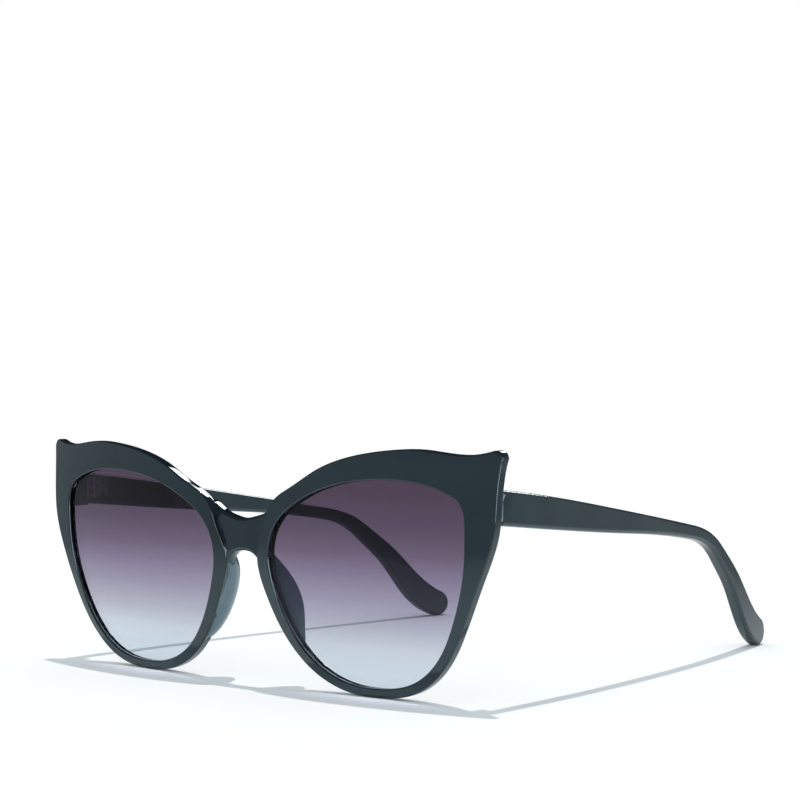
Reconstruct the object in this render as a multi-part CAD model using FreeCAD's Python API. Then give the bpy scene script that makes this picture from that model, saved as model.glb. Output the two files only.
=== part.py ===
"""Cat eye sunglasses: acetate front, sprung-in lenses, bonded nose pads, two folding temples.

Millimetres. Z is up, the front looks along -Y, the temples run towards +Y and X = 0 is the plane
of symmetry. Every piece is drawn for the wearer's left side (+X) and mirrored for the right.
The glasses stand open on the bottoms of both rims and the ends of both temples, at Z = 0.
"""
import FreeCAD
import Part
import math
import os

V = FreeCAD.Vector
UP = V(0, 0, 1)
REARWARD = V(0, 1, 0)
FORWARD = V(0, -1, 0)
OUTWARD = V(1, 0, 0)

# --- Lens opening ("55 [] 18") and the rim round it
LENS_WIDTH = 55.0
LENS_HEIGHT = 46.3
BRIDGE_GAP = 18.0
RIM_BOTTOM = 2.2
TIP_REACH = 8.5            # swept tip beyond the outer side of the opening
TIP_RISE = 6.6             # swept tip above the top of the opening
TIP_RADIUS = 1.5
CORNER_SHARE = (0.6, 0.85) # the tip's round passes here, from its centre in radii
NECK_REACH = 0.88          # the side below the tip, as a share of the tip's reach
NECK_DROP = 0.09           # and below the top of the opening, as a share of the lens height

# --- Front: a toric sheet, wrapped round the face and gently curved in height
WRAP_RADIUS = 175.0
WRAP_CENTRE_X = 25.3
FACE_RADIUS = 131.0
FACE_CENTRE_Z = 38.6
FRONT_THICKNESS = 3.0
FRONT_EDGE_RADIUS = 0.4    # crisp towards the viewer, soft towards the face
REAR_EDGE_RADIUS = 1.0
OPENING_FRONT_RADIUS = 0.35
OPENING_REAR_RADIUS = 0.25

# --- Bridge bar between the rims, set back from their faces
BRIDGE_TOP_Z = 38.4
BRIDGE_BOTTOM_Z = 30.9
BRIDGE_FACE_Y = 1.8        # behind the frontmost line of the front
BRIDGE_THICKNESS = 3.0
BRIDGE_ARCH_RADIUS = 90.0
BRIDGE_EDGE_RADIUS = 0.9

# --- Lens and its groove
LENS_THICKNESS = 1.5
LENS_SETBACK = 0.95
GROOVE_DEPTH = 0.8
GROOVE_CLEARANCE = 0.05    # on each face of the lens
GROOVE_EDGE_CLEARANCE = 0.1

# --- Nose pads
PAD_SEAM = 0.6             # seam on the flank, behind the rim's front face
PAD_SEAT_INSET = 1.5       # seat kept away from the lens opening
PAD_WIDTH = 1.5            # near the ridge
PAD_END_SHARE = 0.7        # at the pad's ends, its width as a share of how far the ridge stands back
NOSE_SIDE_SHARE = 0.4      # the ridge's round, as shares of the pad's width
LENS_SIDE_SHARE = 0.6
PAD_BULGE = 0.3
PAD_OVERLAP = 0.4          # pad blank inside the rim before it is trimmed to its seat

# --- Endpiece and temples
TEMPLE_INSET = 3.2         # outer face inside the tip
TEMPLE_THICKNESS = 3.5
TEMPLE_BOW_RADIUS = 516.0  # inward bow, tangent to the straight root
TEMPLE_EDGE_RADIUS = 1.0
ENDPIECE_REACH = 2.3       # endpiece behind the rim's rear face, at the temple's outer face
BUTT_GAP = 0.25
ROOT_LENGTH = 9.0          # straight part that carries the hinge leaf
SHAFT_LENGTH = 79.0        # butt to where the ear bend starts
EAR_LENGTH = 45.0          # from there to the centre of the tip's round
ROOT_DROP = 5.6            # centre of the temple at the butt, below the top of the opening
SHAFT_DROP = 10.0          # from there to the centre where the ear bend starts
EAR_TIP_RADIUS = 3.6
BOSS_WIDTH = 6.0
BOSS_HEIGHT = 8.4
BOSS_INSET = 0.4           # endpiece inside the temple's outer face
BOSS_EDGE_RADIUS = 0.5
BOSS_START = 1.3           # front of the block behind the rim's front face, at its outer side

# --- Slot across every screw's head
SLOT_WIDTH = 0.25
SLOT_DEPTH = 0.22

# --- Hinge: five knuckles, three on the front and two on the temple
KNUCKLE_RADIUS = 1.25
KNUCKLE_HEIGHT = 1.0
KNUCKLE_GAP = 0.06         # between neighbouring knuckles
KNUCKLE_CLEAR = 0.4        # knuckle to the temple's inner face
KNUCKLE_STANDOFF = 0.6     # knuckle to the rear of the endpiece
KNUCKLES = 5
WEB_SHARE = 0.8            # half the width of a knuckle's web, as a share of its radius
LEAF_THICKNESS = 0.8
FRONT_LEAF_REACH = 4.2     # beyond the hinge axis
TEMPLE_LEAF_REACH = 6.6    # beyond the hinge axis
LEAF_BACK_REACH = 1.25
PIN_RADIUS = 0.6
PIN_CLEARANCE = 0.03
PIN_HEAD_RADIUS = 0.9
PIN_HEAD_HEIGHT = 0.5

# --- Leaf screws, two to a leaf
SCREW_SPACING = 3.1
SCREW_RADIUS = 0.5
SCREW_HEAD_RADIUS = 0.85
SCREW_HEAD_HEIGHT = 0.4
SCREW_LENGTH = 2.5
SCREW_CLEARANCE = 0.03
SCREW_SETOUT = 2.9         # from the hinge axis along the front leaf
TEMPLE_SCREW_SETOUT = 4.6  # from the hinge axis along the temple leaf

# --- Core wire
WIRE_HEIGHT = 1.6
WIRE_WIDTH = 1.0
WIRE_CLEARANCE = 0.05
WIRE_ROOT_DROP = 0.15      # below the butt's centre where it leaves the hinge leaf
WIRE_TIP_MARGIN = 11.0     # short of the centre of the tip's round

# Lens opening in its own box (0..1 across from the nose, 0..1 up) and the rim's width there.
# Anticlockwise from the top, starting above the middle of the lens.
OPENING = [
    (0.640, 1.000, 6.4),
    (0.470, 0.985, 5.6),
    (0.310, 0.942, 4.7),
    (0.175, 0.874, 4.0),
    (0.072, 0.790, 4.3),
    (0.020, 0.705, 2.9),
    (0.000, 0.610, 3.8),
    (0.026, 0.436, 3.3),
    (0.095, 0.260, 2.8),
    (0.200, 0.114, 2.5),
    (0.356, 0.020, 2.3),
    (0.527, 0.000, RIM_BOTTOM),
    (0.702, 0.039, 2.3),
    (0.836, 0.158, 2.3),
    (0.927, 0.341, 2.6),
    (0.987, 0.570, 4.2),
    (1.000, 0.765, 6.9),
    (0.980, 0.892, 8.7),
    (0.905, 0.950, 8.7),
    (0.782, 0.989, 7.3),
]
TIP_SIDE = 17              # the row under the tip, left out of the rim's outline
BROW_START = 18

# Bridge bar: half-width stations and how far its edges sit above the middle's
BRIDGE_TOP_RISE = [(3.3, 0.5), (5.5, 1.05), (7.4, 1.85), (9.2, 2.85), (11.2, 3.8)]
BRIDGE_BOTTOM_DROP = [(2.4, 0.35), (4.2, 1.5), (5.6, 3.6)]

# Nose pad: height, ridge outward of the rim's flank, ridge behind the rim's rear face
PAD_STATIONS = [
    (31.0, 1.7, 0.6),
    (27.0, 2.7, 4.0),
    (21.0, 3.1, 5.8),
    (15.0, 2.1, 4.3),
    (9.5, 1.0, 0.6),
]

# Temple seen from the side: share of the shaft, drop of its centre line's share, height
SHAFT = [(0.0, 0.0, 7.8), (0.25, 0.23, 7.2), (0.55, 0.53, 5.7), (0.80, 0.775, 4.2), (1.0, 1.0, 3.5)]
# Share of the ear's length, share of its drop, height across it
EAR = [(0.20, 0.062, 3.5), (0.32, 0.136, 3.7), (0.46, 0.288, 4.3), (0.62, 0.491, 5.2), (0.79, 0.774, 6.8)]


def sag(place, centre, radius):
    """How far a shallow curve has fallen back from its crown."""
    return (place - centre) ** 2 / (2 * radius)


def front_y(x, z):
    """The front face behind its frontmost line."""
    return sag(x, WRAP_CENTRE_X, WRAP_RADIUS) + sag(z, FACE_CENTRE_Z, FACE_RADIUS)


# Derived places
NASAL_X = BRIDGE_GAP / 2
LENS_TOP_Z = RIM_BOTTOM + LENS_HEIGHT
OUTER_X = NASAL_X + LENS_WIDTH
TIP_X = OUTER_X + TIP_REACH
TIP_Z = LENS_TOP_Z + TIP_RISE
TEMPLE_OUTER_X = TIP_X - TEMPLE_INSET
INNER_FACE_X = TEMPLE_OUTER_X - TEMPLE_THICKNESS
ROOT_Z = LENS_TOP_Z - ROOT_DROP
BEND_Z = ROOT_Z - SHAFT_DROP
BUTT_Y = front_y(TEMPLE_OUTER_X, ROOT_Z) + FRONT_THICKNESS + ENDPIECE_REACH
AXIS_X = INNER_FACE_X - KNUCKLE_CLEAR - KNUCKLE_RADIUS
AXIS_Y = BUTT_Y + KNUCKLE_STANDOFF + KNUCKLE_RADIUS
HINGE_Z = ROOT_Z
HINGE_BOTTOM = HINGE_Z - KNUCKLES * KNUCKLE_HEIGHT / 2
TEMPLE_START_Y = BUTT_Y + BUTT_GAP
BEND_Y = TEMPLE_START_Y + SHAFT_LENGTH
EAR_END_Y = BEND_Y + EAR_LENGTH
REAR_Y = EAR_END_Y + EAR_TIP_RADIUS
CENTRE_Y = REAR_Y / 2
WIDE = 400.0
SEAT_CUT = 6.0
OUTSET_STEPS = 20


def wire_of(curves):
    """A closed wire from curves given in order."""
    return Part.Wire([curve.toShape() for curve in curves])


def polygon(points):
    """A closed wire of straight edges."""
    return Part.makePolygon(list(points) + [points[0]])


def spline(points, closed=False):
    curve = Part.BSplineCurve()
    curve.interpolate(Points=points, PeriodicFlag=closed)
    return curve


def prism(wire, along):
    """The wire's face, pushed along a vector."""
    return Part.Face(wire).extrude(along)


def through_y(wire):
    """A prism through the whole depth of the front, from a wire drawn at Y = 0."""
    body = prism(wire, V(0, WIDE, 0))
    body.translate(V(0, -WIDE / 2, 0))
    return body


def box(x0, x1, y0, y1, z0, z1):
    return Part.makeBox(x1 - x0, y1 - y0, z1 - z0, V(x0, y0, z0))


def cylinder(radius, base, along):
    return Part.makeCylinder(radius, along.Length, base, along)


def mirrored(shape):
    return shape.mirror(V(0, 0, 0), OUTWARD)


def face_towards(solid, direction):
    """The large face that looks in a direction."""
    def score(face):
        u0, u1, v0, v1 = face.ParameterRange
        return face.Area * face.normalAt((u0 + u1) / 2, (v0 + v1) / 2).dot(direction)
    return max(solid.Faces, key=score)


def rounded(solid, radius, direction, inner):
    """Round the outer loop, or the loops inside it, of the face that looks in a direction."""
    face = face_towards(solid, direction)
    loops = [w for w in face.Wires if not w.isSame(face.OuterWire)] if inner else [face.OuterWire]
    return solid.makeFillet(radius, [edge for loop in loops for edge in loop.Edges])


# --- The toric front

def pole_depth(span, index, centre, radius):
    """The depth of a quadratic patch's pole; the middle one makes the ends meet the curve."""
    low, high = span
    if index == 1:
        return (low - centre) * (high - centre) / (2 * radius)
    return sag(span[index // 2], centre, radius)


def sheet(front, rear):
    """The layer of the front between two depths behind its face: a patch curved both ways."""
    across = (-TIP_REACH, TIP_X + TIP_REACH)
    upward = (-TIP_RISE, TIP_Z + TIP_RISE)
    patch = Part.BezierSurface()
    patch.increase(2, 2)
    for i, x in enumerate([across[0], sum(across) / 2, across[1]]):
        for j, z in enumerate([upward[0], sum(upward) / 2, upward[1]]):
            depth = pole_depth(across, i, WRAP_CENTRE_X, WRAP_RADIUS)
            depth += pole_depth(upward, j, FACE_CENTRE_Z, FACE_RADIUS)
            patch.setPole(i + 1, j + 1, V(x, front + depth, z))
    return patch.toShape().extrude(V(0, rear - front, 0))


def opening_curve():
    points = [V(NASAL_X + u * LENS_WIDTH, 0, RIM_BOTTOM + v * LENS_HEIGHT) for u, v, _ in OPENING]
    return spline(points, closed=True), points


def outward_normal(curve, place):
    """Square to the opening's curve, away from the lens."""
    tangent = curve.tangent(place)[0]
    normal = V(-tangent.z, 0, tangent.x)
    middle = V(NASAL_X + LENS_WIDTH / 2, 0, RIM_BOTTOM + LENS_HEIGHT / 2)
    return normal if normal.dot(curve.value(place) - middle) > 0 else normal * -1


def rim_points():
    """Points of the rim's outline, each the rim's width outside the opening."""
    curve, points = opening_curve()
    return [point + outward_normal(curve, curve.parameter(point)) * width
            for point, (_, _, width) in zip(points, OPENING)]


def rim_outline():
    """Outline of one rim: down the brow, round under the lens and up the side to the tip."""
    points = rim_points()
    tip = V(TIP_X - TIP_RADIUS, 0, TIP_Z - TIP_RADIUS)
    brow_end = V(tip.x - TIP_RADIUS, 0, TIP_Z - 0.1)
    side_end = V(TIP_X, 0, tip.z)
    run = [brow_end] + points[BROW_START:] + points[:TIP_SIDE]
    run += [V(OUTER_X + TIP_REACH * NECK_REACH, 0, LENS_TOP_Z - LENS_HEIGHT * NECK_DROP), side_end]
    corner = V(tip.x + TIP_RADIUS * CORNER_SHARE[0], 0, tip.z + TIP_RADIUS * CORNER_SHARE[1])
    return wire_of([spline(run), spline([side_end, corner, brow_end])])


def opening_wire(outset=0.0):
    """The lens opening's outline, or one set out from it all round."""
    curve, _ = opening_curve()
    if not outset:
        return wire_of([curve])
    first, last = curve.FirstParameter, curve.LastParameter
    points = []
    for step in range(OUTSET_STEPS):
        place = first + (last - first) * step / OUTSET_STEPS
        points.append(curve.value(place) + outward_normal(curve, place) * outset)
    return wire_of([spline(points, closed=True)])


def flank_x(z):
    """The rim's flank beside the nose at a height."""
    level = Part.LineSegment(V(-1, 0, z), V(WRAP_CENTRE_X, 0, z)).toShape()
    return min(pair[0].x for pair in rim_outline().distToShape(level)[1])


# --- Front frame

def rim():
    body = through_y(rim_outline()).common(sheet(0, FRONT_THICKNESS)).Solids[0]
    body = rounded(body, FRONT_EDGE_RADIUS, FORWARD, inner=False)
    body = rounded(body, REAR_EDGE_RADIUS, REARWARD, inner=False)
    body = body.cut(through_y(opening_wire())).Solids[0]
    body = rounded(body, OPENING_FRONT_RADIUS, FORWARD, inner=True)
    return rounded(body, OPENING_REAR_RADIUS, REARWARD, inner=True)


def bridge():
    """The bar between the rims: an arch seen from the front and from above."""
    top = [V(x, 0, BRIDGE_TOP_Z + rise) for x, rise in BRIDGE_TOP_RISE]
    bottom = [V(x, 0, BRIDGE_BOTTOM_Z - drop) for x, drop in BRIDGE_BOTTOM_DROP]
    across = [V(-p.x, 0, p.z) for p in reversed(top)] + [V(0, 0, BRIDGE_TOP_Z)] + top
    back = bottom[::-1] + [V(0, 0, BRIDGE_BOTTOM_Z)] + [V(-p.x, 0, p.z) for p in bottom]
    wire = Part.Wire([
        spline(across).toShape(),
        Part.LineSegment(across[-1], back[0]).toShape(),
        spline(back).toShape(),
        Part.LineSegment(back[-1], across[0]).toShape(),
    ])
    centre = V(0, BRIDGE_FACE_Y + BRIDGE_ARCH_RADIUS, 0)
    arch = cylinder(BRIDGE_ARCH_RADIUS, centre, V(0, 0, TIP_Z))
    arch = arch.cut(cylinder(BRIDGE_ARCH_RADIUS - BRIDGE_THICKNESS, centre, V(0, 0, TIP_Z)))
    bar = through_y(wire).common(arch).common(box(-TIP_X, TIP_X, 0, BRIDGE_ARCH_RADIUS, 0, TIP_Z))
    bar = bar.Solids[0]
    long_edges = [edge for edge in bar.Edges if edge.BoundBox.XLength > BRIDGE_GAP / 3]
    return bar.makeFillet(BRIDGE_EDGE_RADIUS, long_edges)


def endpiece():
    """The block behind the rim that the temple butts against."""
    outer = TEMPLE_OUTER_X - BOSS_INSET
    start = front_y(outer, ROOT_Z) + BOSS_START
    body = box(outer - BOSS_WIDTH, outer, start, BUTT_Y,
               ROOT_Z - BOSS_HEIGHT / 2, ROOT_Z + BOSS_HEIGHT / 2)
    rear_edges = [edge for edge in body.Edges if edge.CenterOfMass.y > (start + BUTT_Y) / 2]
    return body.makeFillet(BOSS_EDGE_RADIUS, rear_edges)


def groove():
    depth = LENS_SETBACK - GROOVE_CLEARANCE
    layer = sheet(depth, depth + LENS_THICKNESS + 2 * GROOVE_CLEARANCE)
    return through_y(opening_wire(GROOVE_DEPTH)).common(layer)


def opening_x(z):
    """The nasal side of the lens opening at a height."""
    level = Part.LineSegment(V(-1, 0, z), V(WRAP_CENTRE_X, 0, z)).toShape()
    return min(pair[0].x for pair in opening_wire().distToShape(level)[1])


# --- Nose pads

def pad_stations():
    """Per station: seam on the rim's flank, ridge, heel on the rim's rear, rise of the ridge."""
    stations = []
    for z, out, behind in PAD_STATIONS:
        flank = flank_x(z)
        rear = front_y(flank, z) + FRONT_THICKNESS
        seam = V(flank, front_y(flank, z) + PAD_SEAM, z)
        ridge = V(flank + out, rear + behind, z)
        heel = V(opening_x(z) - PAD_SEAT_INSET, rear, z)
        stations.append((seam, ridge, heel, behind))
    return stations


def into_rim(seam, heel, depth):
    """A step square to the seat, into the rim."""
    return UP.cross(heel - seam).normalize() * -depth


def pad_blank():
    """The pad with its seat left deep, for trimming to the rim."""
    wires = []
    for seam, ridge, heel, behind in pad_stations():
        width = min(PAD_WIDTH, PAD_END_SHARE * behind)
        chord = (ridge - seam).normalize()
        nasal = UP.cross(chord)
        nose_side = ridge - chord * width + nasal * (width * NOSE_SIDE_SHARE)
        lens_side = ridge - chord * width - nasal * (width * LENS_SIDE_SHARE)
        bulge = (seam + nose_side) * 0.5 + nasal * PAD_BULGE
        deep = into_rim(seam, heel, PAD_OVERLAP)
        wires.append(wire_of([
            spline([seam, bulge, nose_side, ridge, lens_side, heel]),
            Part.LineSegment(heel, heel + deep),
            Part.LineSegment(heel + deep, seam + deep),
            Part.LineSegment(seam + deep, seam),
        ]))
    return Part.makeLoft(wires, True, False)


def pad_seat():
    """What is cut from the rim's rear corner beside the nose, for the pad to sit in."""
    wires = []
    for seam, ridge, heel, _ in pad_stations():
        clear = into_rim(seam, heel, -SEAT_CUT)
        past = seam + (seam - heel)
        wires.append(polygon([past, heel, heel + clear, past + clear]))
    return Part.makeLoft(wires, True, False)


def nose_pad(frame):
    """The pad outside the frame; what the cut leaves inside the rim's groove is dropped."""
    return max(pad_blank().cut(frame).Solids, key=lambda solid: solid.Volume)


# --- Lens

def lens():
    outline = opening_wire(GROOVE_DEPTH - GROOVE_EDGE_CLEARANCE)
    return through_y(outline).common(sheet(LENS_SETBACK, LENS_SETBACK + LENS_THICKNESS)).Solids[0]


# --- Hinge

def knuckles(which):
    """The front's knuckles (0, 2, 4) or the temple's (1, 3), as bare cylinders."""
    bodies = []
    for index in which:
        base = V(AXIS_X, AXIS_Y, HINGE_BOTTOM + index * KNUCKLE_HEIGHT + KNUCKLE_GAP / 2)
        bodies.append(cylinder(KNUCKLE_RADIUS, base, V(0, 0, KNUCKLE_HEIGHT - KNUCKLE_GAP)))
    return bodies


def knuckle_webs(which, x0, x1, y0, y1):
    """Webs that carry the same knuckles from their leaf."""
    webs = []
    for index in which:
        z = HINGE_BOTTOM + index * KNUCKLE_HEIGHT + KNUCKLE_GAP / 2
        webs.append(box(x0, x1, y0, y1, z, z + KNUCKLE_HEIGHT - KNUCKLE_GAP))
    return webs


def screw_places(along, square):
    """The two leaf screws' head centres: on the leaf's face, either side of the hinge's middle."""
    return [along + square * (side * SCREW_SPACING / 2) for side in (-1, 1)]


def front_screw_heads():
    return screw_places(V(AXIS_X + SCREW_SETOUT, BUTT_Y, HINGE_Z), UP)


def temple_screw_heads():
    return screw_places(V(INNER_FACE_X, AXIS_Y + TEMPLE_SCREW_SETOUT, HINGE_Z), UP)


def leaf_screw(head, inward, clearance=0.0):
    """A countersunk screw; with clearance, the hole that it goes through."""
    cone = Part.makeCone(SCREW_HEAD_RADIUS + clearance, SCREW_RADIUS + clearance, SCREW_HEAD_HEIGHT,
                         head, inward)
    shank = cylinder(SCREW_RADIUS + clearance, head, inward * (SCREW_LENGTH + clearance))
    return cone.fuse(shank).removeSplitter()


def leaf_screws(heads, inward):
    """Both screws of a leaf, each with a slot across its head."""
    screws = []
    for head in heads:
        slot = Part.makeBox(2 * SCREW_HEAD_RADIUS, 2 * SCREW_HEAD_RADIUS, SLOT_WIDTH)
        slot.translate(head + V(-SCREW_HEAD_RADIUS, -SCREW_HEAD_RADIUS, -SLOT_WIDTH / 2)
                       - inward * (SCREW_HEAD_RADIUS - SLOT_DEPTH))
        screws.append(leaf_screw(head, inward).cut(slot))
    return Part.makeCompound(screws)


def hinge_bore():
    """The bore through all five knuckles, with the head's recess in the top one."""
    foot = V(AXIS_X, AXIS_Y, HINGE_BOTTOM - KNUCKLE_HEIGHT)
    bore = cylinder(PIN_RADIUS + PIN_CLEARANCE, foot, UP * ((KNUCKLES + 2) * KNUCKLE_HEIGHT))
    return bore.fuse(head_space(PIN_CLEARANCE))


def head_space(clearance):
    top = HINGE_BOTTOM + KNUCKLES * KNUCKLE_HEIGHT - KNUCKLE_GAP / 2
    return cylinder(PIN_HEAD_RADIUS + clearance, V(AXIS_X, AXIS_Y, top - PIN_HEAD_HEIGHT),
                    UP * PIN_HEAD_HEIGHT)


def hinge_screw():
    foot = V(AXIS_X, AXIS_Y, HINGE_BOTTOM + KNUCKLE_GAP / 2)
    length = KNUCKLES * KNUCKLE_HEIGHT - KNUCKLE_GAP
    slot = box(AXIS_X - KNUCKLE_RADIUS, AXIS_X + KNUCKLE_RADIUS,
               AXIS_Y - SLOT_WIDTH / 2, AXIS_Y + SLOT_WIDTH / 2,
               foot.z + length - SLOT_DEPTH, foot.z + length + SLOT_DEPTH)
    return cylinder(PIN_RADIUS, foot, UP * length).fuse(head_space(0.0)).removeSplitter().cut(slot)


def front_leaf_plate():
    return box(AXIS_X - LEAF_BACK_REACH, AXIS_X + FRONT_LEAF_REACH, BUTT_Y - LEAF_THICKNESS, BUTT_Y,
               HINGE_BOTTOM, HINGE_BOTTOM + KNUCKLES * KNUCKLE_HEIGHT)


def temple_leaf_plate():
    return box(INNER_FACE_X, INNER_FACE_X + LEAF_THICKNESS, TEMPLE_START_Y, AXIS_Y + TEMPLE_LEAF_REACH,
               HINGE_BOTTOM, HINGE_BOTTOM + KNUCKLES * KNUCKLE_HEIGHT)


def front_hinge_leaf():
    which = range(0, KNUCKLES, 2)
    side = KNUCKLE_RADIUS * WEB_SHARE
    webs = knuckle_webs(which, AXIS_X - side, AXIS_X + side, BUTT_Y, AXIS_Y)
    body = front_leaf_plate().multiFuse(knuckles(which) + webs)
    return drilled(body, front_screw_heads(), FORWARD)


def temple_hinge_leaf():
    which = range(1, KNUCKLES, 2)
    side = KNUCKLE_RADIUS * WEB_SHARE
    webs = knuckle_webs(which, AXIS_X, INNER_FACE_X, AXIS_Y - side, AXIS_Y + side)
    body = temple_leaf_plate().multiFuse(knuckles(which) + webs)
    return drilled(body, temple_screw_heads(), OUTWARD)


def drilled(leaf, heads, inward):
    """A leaf with its screw holes and the hinge bore cut."""
    leaf = leaf.removeSplitter().cut(hinge_bore())
    for head in heads:
        leaf = leaf.cut(leaf_screw(head, inward, SCREW_CLEARANCE))
    return leaf.Solids[0]


# --- Temples

def temple_centre():
    """Stations of the temple's centre line seen from the side, each with its height."""
    shaft = [(V(0, TEMPLE_START_Y + SHAFT_LENGTH * s, ROOT_Z + (BEND_Z - ROOT_Z) * d), h)
             for s, d, h in SHAFT]
    ear = [(V(0, BEND_Y + EAR_LENGTH * s, BEND_Z + (EAR_TIP_RADIUS - BEND_Z) * d), h)
           for s, d, h in EAR]
    return shaft + ear


def tip_centre():
    return V(0, EAR_END_Y, EAR_TIP_RADIUS)


def side_outline():
    """The temple from the side: two edges set off from the centre line, and a round tip."""
    stations = temple_centre()
    line = spline([point for point, _ in stations] + [tip_centre()])
    upper, lower = [], []
    for point, height in stations:
        tangent = line.tangent(line.parameter(point))[0]
        square = V(0, -tangent.z, tangent.y)
        upper.append(point + square * (height / 2))
        lower.append(point - square * (height / 2))
    tangent = line.tangent(line.LastParameter)[0]
    square = V(0, -tangent.z, tangent.y)
    top_end = tip_centre() + square * EAR_TIP_RADIUS
    low_end = tip_centre() - square * EAR_TIP_RADIUS
    upper[0].y = lower[0].y = TEMPLE_START_Y
    return wire_of([
        spline(upper + [top_end]),
        Part.Arc(top_end, tip_centre() + tangent * EAR_TIP_RADIUS, low_end),
        spline((lower + [low_end])[::-1]),
        Part.LineSegment(lower[0], upper[0]),
    ])


def bow_strip(outer_inset, thickness, end_y):
    """The temple's layer seen from above: straight at the root, then bowed inwards."""
    start_y = TEMPLE_START_Y - BUTT_GAP
    root_y = TEMPLE_START_Y + ROOT_LENGTH
    centre = V(TEMPLE_OUTER_X - TEMPLE_BOW_RADIUS, root_y, 0)
    angle = math.asin((end_y - root_y) / (TEMPLE_BOW_RADIUS - outer_inset))

    def at(radius, share):
        return centre + V(radius * math.cos(angle * share), radius * math.sin(angle * share), 0)

    outer = TEMPLE_BOW_RADIUS - outer_inset
    inner = outer - thickness
    wire = wire_of([
        Part.LineSegment(V(centre.x + outer, start_y, 0), at(outer, 0)),
        Part.Arc(at(outer, 0), at(outer, 0.5), at(outer, 1)),
        Part.LineSegment(at(outer, 1), at(inner, 1)),
        Part.Arc(at(inner, 1), at(inner, 0.5), at(inner, 0)),
        Part.LineSegment(at(inner, 0), V(centre.x + inner, start_y, 0)),
        Part.LineSegment(V(centre.x + inner, start_y, 0), V(centre.x + outer, start_y, 0)),
    ])
    return prism(wire, V(0, 0, WIDE)).translate(V(0, 0, -WIDE / 2))


def sideways(wire):
    """A prism across the whole width, from a wire drawn at X = 0."""
    return prism(wire, V(TIP_X * 2, 0, 0))


def temple_blank():
    body = sideways(side_outline()).common(bow_strip(0.0, TEMPLE_THICKNESS, REAR_Y + EAR_TIP_RADIUS))
    body = body.Solids[0]
    edges = [e for e in body.Edges if e.CenterOfMass.y > TEMPLE_START_Y + BUTT_GAP
             and e.BoundBox.YLength > EAR_TIP_RADIUS / 2 and abs(e.tangentAt(e.FirstParameter).x) < 0.5]
    return body.makeFillet(TEMPLE_EDGE_RADIUS, edges)


def wire_line():
    """The core wire's line: level between the leaf screws, then along the temple's centre."""
    butt, *rest = [point for point, _ in temple_centre()]
    return [butt, V(0, AXIS_Y + TEMPLE_LEAF_REACH, ROOT_Z - WIRE_ROOT_DROP)] + rest + [tip_centre()]


def core_bar(clearance):
    """The flat wire inside the temple; with clearance, the channel that it lies in."""
    points = wire_line()
    line = spline(points)
    last_y = EAR_END_Y - WIRE_TIP_MARGIN
    half = WIRE_HEIGHT / 2 + clearance
    upper, lower = [], []
    for point in points:
        if point.y > last_y:
            break
        tangent = line.tangent(line.parameter(point))[0]
        square = V(0, -tangent.z, tangent.y)
        upper.append(point + square * half)
        lower.append(point - square * half)
    upper[0].y = lower[0].y = TEMPLE_START_Y
    outline = wire_of([
        spline(upper),
        Part.LineSegment(upper[-1], lower[-1]),
        spline(lower[::-1]),
        Part.LineSegment(lower[0], upper[0]),
    ])
    inset = (TEMPLE_THICKNESS - WIRE_WIDTH) / 2 - clearance
    strip = bow_strip(inset, WIRE_WIDTH + 2 * clearance, REAR_Y)
    return sideways(outline).common(strip).Solids[0]


def temple():
    body = temple_blank().cut(core_bar(WIRE_CLEARANCE)).cut(temple_leaf_plate())
    for head in temple_screw_heads():
        body = body.cut(leaf_screw(head, OUTWARD, SCREW_CLEARANCE))
    return body.Solids[0]


# --- Assembly

def front_frame():
    side = rim().fuse(endpiece()).cut(pad_seat()).cut(groove()).cut(front_leaf_plate())
    for head in front_screw_heads():
        side = side.cut(leaf_screw(head, FORWARD, SCREW_CLEARANCE))
    return bridge().fuse(side).fuse(mirrored(side)).Solids[0]


def pieces():
    """Every piece by its node's name, before the row frame is applied."""
    frame = front_frame()
    left = {
        "lens": lens(),
        "nose_pad": nose_pad(frame),
        "front_hinge_leaf": front_hinge_leaf(),
        "front_leaf_screws": leaf_screws(front_screw_heads(), FORWARD),
        "hinge_screw": hinge_screw(),
        "temple": temple(),
        "temple_core_wire": core_bar(0.0),
        "temple_hinge_leaf": temple_hinge_leaf(),
        "temple_leaf_screws": leaf_screws(temple_screw_heads(), OUTWARD),
    }
    nodes = {"front_frame": frame}
    for name, shape in left.items():
        nodes[name + "_left"] = shape
        nodes[name + "_right"] = mirrored(shape)
    return nodes


def main():
    os.makedirs("parts", exist_ok=True)
    for name, shape in pieces().items():
        placed = shape.copy()
        placed.translate(V(0, -CENTRE_Y, 0))
        placed.exportStep("parts/" + name + ".step")
    print("hinge axis", round(AXIS_X, 3), round(AXIS_Y - CENTRE_Y, 3), "centre height", HINGE_Z)
    print("front line at y", round(-CENTRE_Y, 3))


if __name__ == "__main__":
    main()
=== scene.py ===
"""Cat eye sunglasses: polished acetate front and arms, gradient lenses, steel hinges."""
import bmesh
import bpy
import math
from mathutils import Matrix, Vector


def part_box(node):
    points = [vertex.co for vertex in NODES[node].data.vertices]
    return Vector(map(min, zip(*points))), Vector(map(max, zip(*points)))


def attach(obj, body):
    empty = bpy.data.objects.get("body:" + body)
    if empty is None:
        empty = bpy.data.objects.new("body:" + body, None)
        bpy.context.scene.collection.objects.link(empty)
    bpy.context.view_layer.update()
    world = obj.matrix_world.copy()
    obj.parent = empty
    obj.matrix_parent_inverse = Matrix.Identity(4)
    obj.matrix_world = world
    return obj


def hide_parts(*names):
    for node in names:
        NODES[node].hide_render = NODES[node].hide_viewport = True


bl_info = {
    "name": "Cat Eye Sunglasses",
    "version": (1, 0, 0),
    "blender": (4, 5, 0),
    "location": "View3D > Sidebar > Sunglasses",
    "description": "Builds the pieces, finishes and stage of a pair of cat eye sunglasses",
    "category": "Object",
}

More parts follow.
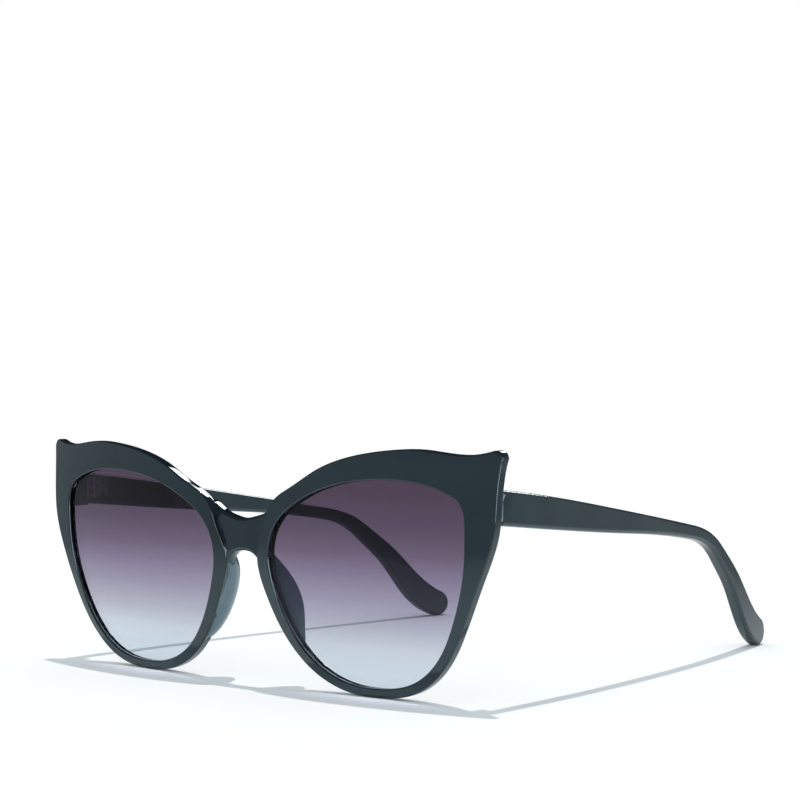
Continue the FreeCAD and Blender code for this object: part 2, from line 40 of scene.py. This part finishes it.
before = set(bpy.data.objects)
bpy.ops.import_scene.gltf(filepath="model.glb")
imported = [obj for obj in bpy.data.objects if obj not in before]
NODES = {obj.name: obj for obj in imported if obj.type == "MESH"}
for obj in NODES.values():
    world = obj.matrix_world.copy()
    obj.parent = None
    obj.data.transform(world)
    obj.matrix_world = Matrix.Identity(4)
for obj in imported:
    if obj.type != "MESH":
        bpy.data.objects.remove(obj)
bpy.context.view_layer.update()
SIDES = ("left", "right")
MM = 0.001

# Acetate: the sizes in mm of the pigment's clouds, the polish's hairlines and its waves
CLOUD_SIZE, HAIRLINE_SIZE, WAVE_SIZE = 14, 0.6, 6
WAVE_STRENGTH, WAVE_DEPTH = 0.02, 0.02 * MM
ACETATE_ROUGHNESS = {"To Min": 0.015, "To Max": 0.03}
ACETATE_IOR = 1.48

# Steel: the size in mm of the marks that barrelling leaves
MARK_SIZE = 0.4

# The lens's two faces: how the toric sheet falls back from its crown, across and up
LENS_WRAP_RADIUS, LENS_WRAP_CENTRE = 175.0 * MM, 25.3 * MM
LENS_FACE_RADIUS, LENS_FACE_CENTRE = 131.0 * MM, 38.6 * MM
LENS_EDGE_TURN = 0.5          # a triangle that faces forward or back by less is on the edge
LENS_IOR = 1.3                # low, for a lens with a thin coating against glare
# Height on the lens in mm, the tint that shows through there, and the ramp's two ends
LENS_TINT = [(5.4, "#d6e0e8"), (11.0, "#cad0da"), (16.0, "#b1b0bf"), (21.6, "#9893a9"),
             (27.0, "#827892"), (32.0, "#6b5f75"), (37.5, "#594d62"), (45.6, "#4e4051")]
LENS_LOW, LENS_HIGH = 0.0, 50.0

# Shading of the meshes: how near loose corners are joined, the angles that stay creased, and
# how much a large face outweighs a small one at their corner
WELD_DISTANCE = 0.0005 * MM
ACETATE_CREASE, PAD_CREASE, SCREW_CREASE = (math.radians(angle) for angle in (40, 50, 35))
EVEN_SHADING = 50
SCREW_SIDES = 32              # enough that a head's rim looks round

# Soft boxes that the gloss shows: direction, half their angle in degrees, brightness
SOFT_BOXES = [((-0.19, 0.755, 0.628), 11.5, 12.0), ((0.86, -0.22, 0.10), 17.0, 6.0),
              ((0.30, -0.93, 0.16), 7.0, 6.0)]
BOX_SOFTNESS = 0.004
# The room in the gloss, from the horizon up
ROOM = [(0.0, (0.38, 0.41, 0.44, 1.0)), (0.12, (0.42, 0.45, 0.48, 1.0)),
        (0.40, (0.13, 0.15, 0.17, 1.0)), (1.0, (0.07, 0.08, 0.09, 1.0))]
# A black flag in the gloss, behind the glasses: its direction, the facing at which its shade
# starts and is full, and the share of light that it leaves
FLAG = (-0.60, 0.78, 0.18)
FLAG_STARTS, FLAG_FULL, FLAG_LEAVES = 0.45, 0.85, 0.06
COOL_GLOSS = (0.72, 0.94, 1.0, 1.0)
WHITE = (1.0, 1.0, 1.0, 1.0)

# The lighting: an even room, and a lamp overhead with a little spread for the shadow's edge
LIGHT_LEVEL = (0.60, 0.655, 0.68, 1.0)
LAMP_STRENGTH, LAMP_COLOUR, LAMP_SPREAD = 1.42, (1.0, 0.93, 0.90), math.radians(1.3)
LAMP_DIRECTION = (0.05, -0.13, -1.0)

# The white sheet: how much brighter it looks to the eye, and where it fades out of the gloss
FLOOR_LIFT = 0.05
FLOOR_SIDES = 96
SHEET_NEAR, SHEET_FAR = 0.08, 0.28

# The camera: its sensor in mm, and how far it sees in metres
SENSOR_WIDTH = 36.0
VIEW_END = 200.0


# --- Colour and node helpers

def linear(hex_colour):
    """An sRGB hex colour as linear RGBA."""
    channels = [int(hex_colour[i:i + 2], 16) / 255 for i in (1, 3, 5)]
    return [c / 12.92 if c <= 0.04045 else ((c + 0.055) / 1.055) ** 2.4 for c in channels] + [1.0]


def add(tree, kind, settings=(), values=(), links=(), stops=()):
    """A node with its settings, socket values, links into it and, on a ramp, its colour stops."""
    node = tree.nodes.new(kind)
    for name, value in dict(settings).items():
        setattr(node, name, value)
    for name, value in dict(values).items():
        node.inputs[name].default_value = value
    for name, socket in dict(links).items():
        tree.links.new(socket, node.inputs[name])
    for place, colour in stops[2:]:
        node.color_ramp.elements.new(place)
    for point, (place, colour) in zip(node.color_ramp.elements if stops else (), stops):
        point.position = place
        point.color = colour
    return node


def new_material(name):
    """A material and its node tree, with nothing in the tree yet."""
    material = bpy.data.materials.new(name)
    material.use_nodes = True
    material.node_tree.nodes.clear()
    return material, material.node_tree


def grain(size_mm):
    """A noise scale, in cells to the metre, from the size of one cell."""
    return 1000 / size_mm


# --- Finishes

def polished_acetate(name, deep, pale, gloss):
    """Cellulose acetate, cut from sheet and tumble polished: deep, wet-looking gloss.

    The colour wanders slightly, as the pigment does in the sheet, and the polish leaves faint
    waves. Its hairlines are about 0.05 mm and are drawn coarser, at 0.6 mm, so that they show.
    """
    material, tree = new_material(name)
    place = add(tree, "ShaderNodeTexCoord").outputs["Object"]
    clouds = add(tree, "ShaderNodeTexNoise",
                 values={"Scale": grain(CLOUD_SIZE), "Detail": 3.0, "Roughness": 0.55},
                 links={"Vector": place})
    colour = add(tree, "ShaderNodeValToRGB", links={"Fac": clouds.outputs["Fac"]},
                 stops=[(0.35, linear(deep)), (0.65, linear(pale))])
    hairlines = add(tree, "ShaderNodeTexNoise",
                    values={"Scale": grain(HAIRLINE_SIZE), "Detail": 2.0}, links={"Vector": place})
    rough = add(tree, "ShaderNodeMapRange", values=ACETATE_ROUGHNESS,
                links={"Value": hairlines.outputs["Fac"]})
    waves = add(tree, "ShaderNodeTexNoise", values={"Scale": grain(WAVE_SIZE), "Detail": 1.0},
                links={"Vector": place})
    bump = add(tree, "ShaderNodeBump", values={"Strength": WAVE_STRENGTH, "Distance": WAVE_DEPTH},
               links={"Height": waves.outputs["Fac"]})
    shader = add(tree, "ShaderNodeBsdfPrincipled",
                 values={"IOR": ACETATE_IOR, "Specular IOR Level": gloss,
                         "Specular Tint": COOL_GLOSS},
                 links={"Base Color": colour.outputs["Color"], "Roughness": rough.outputs["Result"],
                        "Normal": bump.outputs["Normal"]})
    add(tree, "ShaderNodeOutputMaterial", links={"Surface": shader.outputs["BSDF"]})
    return material


def tinted_lens(name):
    """Polycarbonate, moulded clear and dip-tinted: the dye is deepest at the top.

    Shadow rays pass straight through and take the tint, so the lens's shadow is tinted too.
    """
    material, tree = new_material(name)
    place = add(tree, "ShaderNodeTexCoord").outputs["Object"]
    height = add(tree, "ShaderNodeSeparateXYZ", links={"Vector": place})
    share = add(tree, "ShaderNodeMapRange",
                values={"From Min": LENS_LOW * MM, "From Max": LENS_HIGH * MM},
                links={"Value": height.outputs["Z"]})
    stops = [((z - LENS_LOW) / (LENS_HIGH - LENS_LOW), linear(tint)) for z, tint in LENS_TINT]
    tint = add(tree, "ShaderNodeValToRGB", links={"Fac": share.outputs["Result"]}, stops=stops)
    glass = add(tree, "ShaderNodeBsdfPrincipled",
                values={"Roughness": 0.0, "IOR": LENS_IOR, "Transmission Weight": 1.0},
                links={"Base Color": tint.outputs["Color"]})
    clear = add(tree, "ShaderNodeBsdfTransparent", links={"Color": tint.outputs["Color"]})
    rays = add(tree, "ShaderNodeLightPath")
    mix = add(tree, "ShaderNodeMixShader", links={"Fac": rays.outputs["Is Shadow Ray"],
                                                  1: glass.outputs["BSDF"],
                                                  2: clear.outputs["BSDF"]})
    add(tree, "ShaderNodeOutputMaterial", links={"Surface": mix.outputs["Shader"]})
    return material


def barrelled_steel(name, deep, pale, low, high):
    """Stainless steel, turned or stamped and then barrelled: satin, with fine soft marks."""
    material, tree = new_material(name)
    place = add(tree, "ShaderNodeTexCoord").outputs["Object"]
    marks = add(tree, "ShaderNodeTexNoise", values={"Scale": grain(MARK_SIZE), "Detail": 3.0},
                links={"Vector": place})
    colour = add(tree, "ShaderNodeValToRGB", links={"Fac": marks.outputs["Fac"]},
                 stops=[(0.3, linear(deep)), (0.7, linear(pale))])
    rough = add(tree, "ShaderNodeMapRange", values={"To Min": low, "To Max": high},
                links={"Value": marks.outputs["Fac"]})
    shader = add(tree, "ShaderNodeBsdfPrincipled", values={"Metallic": 1.0},
                 links={"Base Color": colour.outputs["Color"],
                        "Roughness": rough.outputs["Result"]})
    add(tree, "ShaderNodeOutputMaterial", links={"Surface": shader.outputs["BSDF"]})
    return material


# --- Pieces

def arm_of(side):
    """The body of a side's arm."""
    return side + "_arm"


def dress(node, material):
    """A CAD node kept as it is, with a finish on every slot."""
    data = NODES[node].data
    if not data.materials:
        data.materials.append(material)
    for index in range(len(data.materials)):
        data.materials[index] = material


def stand_in(mesh, name, body, node):
    """An object for a mesh, which rides on a body and stands for a CAD node."""
    piece = bpy.data.objects.new(name, mesh)
    bpy.context.scene.collection.objects.link(piece)
    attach(piece, body)
    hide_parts(node)
    return piece


def merged(node, name, material):
    """A copy of a CAD node's mesh with its loose triangles joined up."""
    mesh = NODES[node].data.copy()
    mesh.name = name
    shape = bmesh.new()
    shape.from_mesh(mesh)
    bmesh.ops.remove_doubles(shape, verts=shape.verts, dist=WELD_DISTANCE)
    shape.to_mesh(mesh)
    shape.free()
    mesh.materials.clear()
    mesh.materials.append(material)
    mesh.polygons.foreach_set("material_index", [0] * len(mesh.polygons))
    mesh.shade_smooth()
    return mesh


def smooth_piece(node, name, body, material, crease):
    """A CAD node as one polished piece: smooth up to a crease's angle."""
    mesh = merged(node, name, material)
    mesh.set_sharp_from_angle(angle=crease)
    piece = stand_in(mesh, name, body, node)
    weight = piece.modifiers.new("even shading", "WEIGHTED_NORMAL")
    weight.keep_sharp = True
    weight.weight = EVEN_SHADING


def lens_piece(node, name, material):
    """A lens whose shading follows the toric rule of its two faces exactly."""
    mesh = merged(node, name, material)
    normals = [None] * len(mesh.loops)
    for polygon in mesh.polygons:
        towards = polygon.normal
        for corner in polygon.loop_indices:
            place = mesh.vertices[mesh.loops[corner].vertex_index].co
            across = abs(place.x) - LENS_WRAP_CENTRE
            normal = Vector((math.copysign(across / LENS_WRAP_RADIUS, place.x), -1.0,
                             (place.z - LENS_FACE_CENTRE) / LENS_FACE_RADIUS)).normalized()
            if abs(towards.y) < LENS_EDGE_TURN:
                normal = towards.copy()
            elif towards.y > 0:
                normal.negate()
            normals[corner] = normal
    mesh.normals_split_custom_set(normals)
    stand_in(mesh, name, "front", node)


# Local axes of a screw row: across, along the row, out of the heads
SCREW_AXES = {
    "front": (Vector((-1, 0, 0)), Vector((0, 0, 1)), Vector((0, 1, 0))),
    "left": (Vector((0, -1, 0)), Vector((0, 0, 1)), Vector((-1, 0, 0))),
    "right": (Vector((0, 1, 0)), Vector((0, 0, 1)), Vector((1, 0, 0))),
}


def screw_row_tree(material):
    """Geometry nodes: a row of countersunk, slotted screws, their heads in one plane."""
    tree = bpy.data.node_groups.new("screw_row", "GeometryNodeTree")
    face = tree.interface
    face.new_socket("Geometry", in_out="OUTPUT", socket_type="NodeSocketGeometry")
    face.new_socket("Screws", in_out="INPUT", socket_type="NodeSocketInt")
    for name in ("Spacing", "Head radius", "Head height", "Shank radius", "Length", "Slot width",
                 "Slot depth"):
        face.new_socket(name, in_out="INPUT", socket_type="NodeSocketFloat")
    face.new_socket("Place", in_out="INPUT", socket_type="NodeSocketVector")
    face.new_socket("Turn", in_out="INPUT", socket_type="NodeSocketVector")
    given = add(tree, "NodeGroupInput").outputs

    head = add(tree, "GeometryNodeMeshCone", values={"Vertices": SCREW_SIDES},
               links={"Radius Top": given["Head radius"], "Radius Bottom": given["Shank radius"],
                      "Depth": given["Head height"]})
    sink = add(tree, "ShaderNodeMath", settings={"operation": "MULTIPLY"},
               links={0: given["Head height"]}, values={1: -1.0})
    head_drop = add(tree, "ShaderNodeCombineXYZ", links={"Z": sink.outputs["Value"]})
    seated = add(tree, "GeometryNodeTransform", links={"Geometry": head.outputs["Mesh"],
                                                       "Translation": head_drop.outputs["Vector"]})
    # The slot's cutter is centred on the head's top: three radii long, and twice the slot's depth
    slot_length = add(tree, "ShaderNodeMath", settings={"operation": "MULTIPLY"},
                      links={0: given["Head radius"]}, values={1: 3.0})
    slot_height = add(tree, "ShaderNodeMath", settings={"operation": "MULTIPLY"},
                      links={0: given["Slot depth"]}, values={1: 2.0})
    slot_size = add(tree, "ShaderNodeCombineXYZ", links={"X": slot_length.outputs["Value"],
                                                         "Y": given["Slot width"],
                                                         "Z": slot_height.outputs["Value"]})
    cutter = add(tree, "GeometryNodeMeshCube", links={"Size": slot_size.outputs["Vector"]})
    slotted = add(tree, "GeometryNodeMeshBoolean", settings={"operation": "DIFFERENCE"},
                  links={"Mesh 1": seated.outputs["Geometry"], "Mesh 2": cutter.outputs["Mesh"]})

    shank_length = add(tree, "ShaderNodeMath", settings={"operation": "SUBTRACT"},
                       links={0: given["Length"], 1: given["Head height"]})
    shank = add(tree, "GeometryNodeMeshCylinder", values={"Vertices": SCREW_SIDES},
                links={"Radius": given["Shank radius"], "Depth": shank_length.outputs["Value"]})
    reach = add(tree, "ShaderNodeMath", settings={"operation": "ADD"},
                links={0: given["Length"], 1: given["Head height"]})
    middle = add(tree, "ShaderNodeMath", settings={"operation": "MULTIPLY"},
                 links={0: reach.outputs["Value"]}, values={1: -0.5})
    shank_drop = add(tree, "ShaderNodeCombineXYZ", links={"Z": middle.outputs["Value"]})
    lowered = add(tree, "GeometryNodeTransform",
                  links={"Geometry": shank.outputs["Mesh"],
                         "Translation": shank_drop.outputs["Vector"]})
    screw = add(tree, "GeometryNodeJoinGeometry", links={"Geometry": slotted.outputs["Mesh"]})
    tree.links.new(lowered.outputs["Geometry"], screw.inputs["Geometry"])

    gaps = add(tree, "ShaderNodeMath", settings={"operation": "SUBTRACT"},
               links={0: given["Screws"]}, values={1: 1.0})
    span = add(tree, "ShaderNodeMath", settings={"operation": "MULTIPLY"},
               links={0: gaps.outputs["Value"], 1: given["Spacing"]})
    half = add(tree, "ShaderNodeMath", settings={"operation": "MULTIPLY"},
               links={0: span.outputs["Value"]}, values={1: -0.5})
    start = add(tree, "ShaderNodeCombineXYZ", links={"Y": half.outputs["Value"]})
    step = add(tree, "ShaderNodeCombineXYZ", links={"Y": given["Spacing"]})
    line = add(tree, "GeometryNodeMeshLine", links={"Count": given["Screws"],
                                                    "Start Location": start.outputs["Vector"],
                                                    "Offset": step.outputs["Vector"]})
    row = add(tree, "GeometryNodeInstanceOnPoints", links={"Points": line.outputs["Mesh"],
                                                           "Instance": screw.outputs["Geometry"]})
    plain = add(tree, "GeometryNodeRealizeInstances", links={"Geometry": row.outputs["Instances"]})
    placed = add(tree, "GeometryNodeTransform", links={"Geometry": plain.outputs["Geometry"],
                                                       "Translation": given["Place"],
                                                       "Rotation": given["Turn"]})
    dressed = add(tree, "GeometryNodeSetMaterial", values={"Material": material},
                  links={"Geometry": placed.outputs["Geometry"]})
    add(tree, "NodeGroupOutput", links={"Geometry": dressed.outputs["Geometry"]})
    return tree


def screw_row(node, name, body, axes, tree, sizes):
    """A leaf's screws, from the geometry nodes, as one plain mesh in the CAD screws' place."""
    low, high = (Vector(corner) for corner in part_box(node))
    out = axes[2]
    place = (low + high) / 2 + out * (abs(out.dot(high - low)) / 2)
    values = {
        "Screws": sizes.count, "Spacing": sizes.spacing, "Length": sizes.length,
        "Head radius": sizes.head_radius, "Head height": sizes.head_height,
        "Shank radius": sizes.shank_radius, "Slot width": sizes.slot_width,
        "Slot depth": sizes.slot_depth, "Place": place,
        "Turn": Vector(Matrix(axes).transposed().to_euler()),
    }
    piece = stand_in(bpy.data.meshes.new(name), name, body, node)
    row = piece.modifiers.new("screw row", "NODES")
    row.node_group = tree
    for socket in tree.interface.items_tree:
        if socket.in_out == "INPUT":
            row[socket.identifier] = values[socket.name]
    evaluated = piece.evaluated_get(bpy.context.evaluated_depsgraph_get())
    mesh = bpy.data.meshes.new_from_object(evaluated)
    piece.modifiers.clear()
    piece.data = mesh
    mesh.name = name
    mesh.shade_smooth()
    mesh.set_sharp_from_angle(angle=SCREW_CREASE)


# --- Settings

class GlassesFinish(bpy.types.PropertyGroup):
    """The acetate's two tones and its gloss, piece by piece."""
    front_deep: bpy.props.StringProperty(
        name="Front, deep", description="Darker tone of the front", default="#0f1a20")
    front_pale: bpy.props.StringProperty(
        name="Front, pale", description="Lighter tone of the front", default="#131f26")
    front_gloss: bpy.props.FloatProperty(
        name="Front gloss", description="Specular level of the front, which is polished most",
        default=0.9, min=0.0, max=1.0)
    pad_deep: bpy.props.StringProperty(
        name="Pads, deep", description="Darker tone of the nose pads", default="#576e78")
    pad_pale: bpy.props.StringProperty(
        name="Pads, pale", description="Lighter tone of the nose pads", default="#5f7781")
    arm_deep: bpy.props.StringProperty(
        name="Arms, deep", description="Darker tone of the arms", default="#313b3f")
    arm_pale: bpy.props.StringProperty(
        name="Arms, pale", description="Lighter tone of the arms", default="#374145")
    gloss: bpy.props.FloatProperty(
        name="Gloss", description="Specular level of the arms and pads",
        default=0.46, min=0.0, max=1.0)


class GlassesScrews(bpy.types.PropertyGroup):
    """The screws that hold a hinge leaf."""
    count: bpy.props.IntProperty(
        name="Screws", description="Screws in a leaf", default=2, min=1)
    spacing: bpy.props.FloatProperty(
        name="Spacing", description="Between screws", unit="LENGTH", default=3.1 * MM)
    head_radius: bpy.props.FloatProperty(
        name="Head radius", description="Of a countersunk head", unit="LENGTH", default=0.84 * MM)
    head_height: bpy.props.FloatProperty(
        name="Head height", description="Of the countersink", unit="LENGTH", default=0.4 * MM)
    shank_radius: bpy.props.FloatProperty(
        name="Shank radius", description="Of a screw's shank", unit="LENGTH", default=0.49 * MM)
    length: bpy.props.FloatProperty(
        name="Length", description="Of a whole screw", unit="LENGTH", default=2.5 * MM)
    slot_width: bpy.props.FloatProperty(
        name="Slot width", description="Across a head's slot", unit="LENGTH", default=0.25 * MM)
    slot_depth: bpy.props.FloatProperty(
        name="Slot depth", description="Into a screw's head", unit="LENGTH", default=0.22 * MM)


class GlassesStage(bpy.types.PropertyGroup):
    """The camera's place and the white sheet."""
    azimuth: bpy.props.FloatProperty(
        name="Azimuth", description="Camera round the glasses", default=math.radians(41.09),
        subtype="ANGLE")
    elevation: bpy.props.FloatProperty(
        name="Elevation", description="Camera above the horizon", default=math.radians(0.848),
        subtype="ANGLE")
    roll: bpy.props.FloatProperty(
        name="Roll", description="Camera about its own axis", default=math.radians(-0.344),
        subtype="ANGLE")
    distance: bpy.props.FloatProperty(
        name="Distance", description="Camera to its target", default=0.50729, unit="LENGTH")
    target: bpy.props.FloatVectorProperty(
        name="Target", description="Where the camera looks",
        default=(0.01531, -0.029376, 0.06511), subtype="XYZ", unit="LENGTH")
    focal: bpy.props.FloatProperty(
        name="Focal length", description="In mm on a 36 mm sensor", default=95.571)
    floor_radius: bpy.props.FloatProperty(
        name="Floor radius", description="Of the white sheet", default=0.80, unit="LENGTH")
    floor_colour: bpy.props.StringProperty(
        name="Floor", description="Colour of the white sheet", default="#f8fbfc")


# --- Operators


class GLASSES_OT_front(bpy.types.Operator):
    """Build the acetate front and its nose pads."""
    bl_idname = "glasses.front"
    bl_label = "Front and nose pads"

    def execute(self, context):
        finish = context.scene.glasses_finish
        acetate = polished_acetate("polished_acetate_front", finish.front_deep, finish.front_pale,
                                   finish.front_gloss)
        smooth_piece("front_frame", "acetate_front", "front", acetate,
                     ACETATE_CREASE)
        pads = polished_acetate("polished_acetate_pads", finish.pad_deep, finish.pad_pale,
                                finish.gloss)
        for side in SIDES:
            smooth_piece("nose_pad_" + side, "acetate_nose_pad_" + side, "front",
                         pads, PAD_CREASE)
        return {"FINISHED"}


class GLASSES_OT_lenses(bpy.types.Operator):
    """Build the tinted lenses."""
    bl_idname = "glasses.lenses"
    bl_label = "Lenses"

    def execute(self, context):
        tint = tinted_lens("tinted_polycarbonate")
        for side in SIDES:
            lens_piece("lens_" + side, "tinted_lens_" + side, tint)
        return {"FINISHED"}


class GLASSES_OT_arms(bpy.types.Operator):
    """Build the folding arms."""
    bl_idname = "glasses.arms"
    bl_label = "Arms"

    def execute(self, context):
        finish = context.scene.glasses_finish
        acetate = polished_acetate("polished_acetate_arms", finish.arm_deep, finish.arm_pale,
                                   finish.gloss)
        wire = barrelled_steel("drawn_steel_wire", "#8d9296", "#a3a8ac", 0.25, 0.4)
        for side in SIDES:
            smooth_piece("temple_" + side, "acetate_arm_" + side, arm_of(side),
                         acetate, ACETATE_CREASE)
            dress("temple_core_wire_" + side, wire)
        return {"FINISHED"}


class GLASSES_OT_hinges(bpy.types.Operator):
    """Finish the hinge leaves and their hinge screws, and build the leaf screws."""
    bl_idname = "glasses.hinges"
    bl_label = "Hinges and screws"

    def execute(self, context):
        sizes = context.scene.glasses_screws
        leaf = barrelled_steel("barrelled_steel_leaf", "#83888c", "#9ba0a4", 0.28, 0.42)
        screw = barrelled_steel("turned_steel_screw", "#a4a8ab", "#bfc3c6", 0.15, 0.3)
        tree = screw_row_tree(screw)
        for side in SIDES:
            for node in ("front_hinge_leaf_", "temple_hinge_leaf_"):
                dress(node + side, leaf)
            dress("hinge_screw_" + side, screw)
            screw_row("front_leaf_screws_" + side, "slotted_screws_front_" + side, "front",
                      SCREW_AXES["front"], tree, sizes)
            screw_row("temple_leaf_screws_" + side, "slotted_screws_arm_" + side, arm_of(side),
                      SCREW_AXES[side], tree, sizes)
        return {"FINISHED"}


class GLASSES_OT_stage(bpy.types.Operator):
    """Build the floor, the light and the camera."""
    bl_idname = "glasses.stage"
    bl_label = "Stage"

    def execute(self, context):
        settings = context.scene.glasses_stage
        self.floor(settings)
        self.world(context.scene)
        self.lamp(context.scene)
        self.camera(context.scene, settings)
        return {"FINISHED"}

    def floor(self, settings):
        """A round white sheet; to the eye its lit part is plain white, and it keeps the shadow."""
        material, tree = new_material("matt_white_sheet")
        matt = add(tree, "ShaderNodeBsdfDiffuse", values={"Color": linear(settings.floor_colour)})
        rays = add(tree, "ShaderNodeLightPath")
        lift = add(tree, "ShaderNodeMath", settings={"operation": "MULTIPLY"},
                   values={1: FLOOR_LIFT}, links={0: rays.outputs["Is Camera Ray"]})
        glow = add(tree, "ShaderNodeEmission", links={"Strength": lift.outputs["Value"]})
        both = add(tree, "ShaderNodeAddShader", links={0: matt.outputs["BSDF"],
                                                       1: glow.outputs["Emission"]})
        place = add(tree, "ShaderNodeTexCoord").outputs["Object"]
        away = add(tree, "ShaderNodeVectorMath", settings={"operation": "LENGTH"}, links={0: place})
        dim = add(tree, "ShaderNodeMapRange",
                  values={"From Min": SHEET_NEAR, "From Max": SHEET_FAR, "To Max": 1.0},
                  links={"Value": away.outputs["Value"]})
        fade = add(tree, "ShaderNodeMath", settings={"operation": "MULTIPLY"},
                   links={0: dim.outputs["Result"], 1: rays.outputs["Is Glossy Ray"]})
        clear = add(tree, "ShaderNodeBsdfTransparent")
        mix = add(tree, "ShaderNodeMixShader", links={0: fade.outputs["Value"],
                                                      1: both.outputs["Shader"],
                                                      2: clear.outputs["BSDF"]})
        add(tree, "ShaderNodeOutputMaterial", links={"Surface": mix.outputs["Shader"]})
        mesh = bpy.data.meshes.new("studio_floor")
        turn = math.tau / FLOOR_SIDES
        rim = [(settings.floor_radius * math.cos(turn * side),
                settings.floor_radius * math.sin(turn * side), 0) for side in range(FLOOR_SIDES)]
        mesh.from_pydata(rim, [], [range(FLOOR_SIDES)])
        mesh.materials.append(material)
        floor = bpy.data.objects.new("studio_floor", mesh)
        bpy.context.scene.collection.objects.link(floor)

    def world(self, scene):
        """White to the eye, plain for lighting, and a dim room with soft boxes in the gloss."""
        world = bpy.data.worlds.new("studio")
        world.use_nodes = True
        tree = world.node_tree
        tree.nodes.clear()
        rays = add(tree, "ShaderNodeLightPath").outputs
        towards = add(tree, "ShaderNodeTexCoord").outputs["Generated"]
        height = add(tree, "ShaderNodeSeparateXYZ", links={"Vector": towards})
        room = add(tree, "ShaderNodeValToRGB", links={"Fac": height.outputs["Z"]}, stops=ROOM)
        facing = add(tree, "ShaderNodeVectorMath", settings={"operation": "DOT_PRODUCT"},
                     values={1: Vector(FLAG).normalized()}, links={0: towards})
        shade = add(tree, "ShaderNodeMapRange", settings={"interpolation_type": "SMOOTHSTEP"},
                    values={"From Min": FLAG_STARTS, "From Max": FLAG_FULL, "To Min": 1.0,
                            "To Max": FLAG_LEAVES},
                    links={"Value": facing.outputs["Value"]})
        gloss = add(tree, "ShaderNodeVectorMath", settings={"operation": "SCALE"},
                    links={0: room.outputs["Color"], "Scale": shade.outputs["Result"]})
        gloss = gloss.outputs["Vector"]
        for direction, half_angle, brightness in SOFT_BOXES:
            facing = add(tree, "ShaderNodeVectorMath", settings={"operation": "DOT_PRODUCT"},
                         values={1: Vector(direction).normalized()}, links={0: towards})
            edge = math.cos(math.radians(half_angle))
            box = add(tree, "ShaderNodeMapRange",
                      values={"From Min": edge - BOX_SOFTNESS, "From Max": edge,
                              "To Max": brightness},
                      links={"Value": facing.outputs["Value"]})
            gloss = add(tree, "ShaderNodeVectorMath", settings={"operation": "ADD"},
                        links={0: gloss, 1: box.outputs["Result"]}).outputs["Vector"]
        # Of a colour mix's sockets, A is input 6, B is input 7 and the result is output 2
        lit = add(tree, "ShaderNodeMix", settings={"data_type": "RGBA"}, values={6: LIGHT_LEVEL},
                  links={"Factor": rays["Is Glossy Ray"], 7: gloss})
        seen = add(tree, "ShaderNodeMath", settings={"operation": "MAXIMUM"},
                   links={0: rays["Is Camera Ray"], 1: rays["Is Transmission Ray"]})
        final = add(tree, "ShaderNodeMix", settings={"data_type": "RGBA"}, values={7: WHITE},
                    links={"Factor": seen.outputs["Value"], 6: lit.outputs[2]})
        back = add(tree, "ShaderNodeBackground", links={"Color": final.outputs[2]})
        add(tree, "ShaderNodeOutputWorld", links={"Surface": back.outputs["Background"]})
        scene.world = world

    def lamp(self, scene):
        """The light that casts the shadow."""
        light = bpy.data.lights.new("overhead", "SUN")
        light.energy = LAMP_STRENGTH
        light.color = LAMP_COLOUR
        light.angle = LAMP_SPREAD
        lamp = bpy.data.objects.new("overhead", light)
        lamp.rotation_euler = Vector(LAMP_DIRECTION).to_track_quat("-Z", "Y").to_euler()
        scene.collection.objects.link(lamp)

    def camera(self, scene, settings):
        """The camera, at its angles round the target."""
        optics = bpy.data.cameras.new("camera")
        optics.sensor_width = SENSOR_WIDTH
        optics.lens = settings.focal
        optics.clip_end = VIEW_END
        camera = bpy.data.objects.new("camera", optics)
        around, above = settings.azimuth, settings.elevation
        back = Vector((math.sin(around) * math.cos(above), -math.cos(around) * math.cos(above),
                       math.sin(above)))
        across = Vector((0, 0, 1)).cross(back).normalized()
        upward = back.cross(across)
        roll = settings.roll
        side = across * math.cos(roll) + upward * math.sin(roll)
        top = upward * math.cos(roll) - across * math.sin(roll)
        target = Vector(settings.target)
        turn = Matrix((side, top, back)).transposed().to_4x4()
        camera.matrix_world = Matrix.Translation(target + back * settings.distance) @ turn
        scene.collection.objects.link(camera)
        scene.camera = camera
        scene.view_settings.view_transform = "Standard"


class GLASSES_PT_panel(bpy.types.Panel):
    """A button for each group of pieces, and every setting."""
    bl_label = "Cat Eye Sunglasses"
    bl_idname = "GLASSES_PT_panel"
    bl_space_type = "VIEW_3D"
    bl_region_type = "UI"
    bl_category = "Sunglasses"

    def draw(self, context):
        for operator in OPERATORS:
            self.layout.operator(operator.bl_idname)
        scene = context.scene
        for group in (scene.glasses_finish, scene.glasses_screws, scene.glasses_stage):
            for name in group.__annotations__:
                self.layout.prop(group, name)


OPERATORS = (GLASSES_OT_stage, GLASSES_OT_front, GLASSES_OT_lenses, GLASSES_OT_arms,
             GLASSES_OT_hinges)
CLASSES = (GlassesFinish, GlassesScrews, GlassesStage) + OPERATORS + (GLASSES_PT_panel,)


def register():
    for cls in CLASSES:
        bpy.utils.register_class(cls)
    bpy.types.Scene.glasses_finish = bpy.props.PointerProperty(type=GlassesFinish)
    bpy.types.Scene.glasses_screws = bpy.props.PointerProperty(type=GlassesScrews)
    bpy.types.Scene.glasses_stage = bpy.props.PointerProperty(type=GlassesStage)


def unregister():
    del bpy.types.Scene.glasses_stage
    del bpy.types.Scene.glasses_screws
    del bpy.types.Scene.glasses_finish
    for cls in reversed(CLASSES):
        bpy.utils.unregister_class(cls)


def main():
    register()
    bpy.ops.glasses.stage()
    bpy.ops.glasses.front()
    bpy.ops.glasses.lenses()
    bpy.ops.glasses.arms()
    bpy.ops.glasses.hinges()


if __name__ == "__main__":
    main()
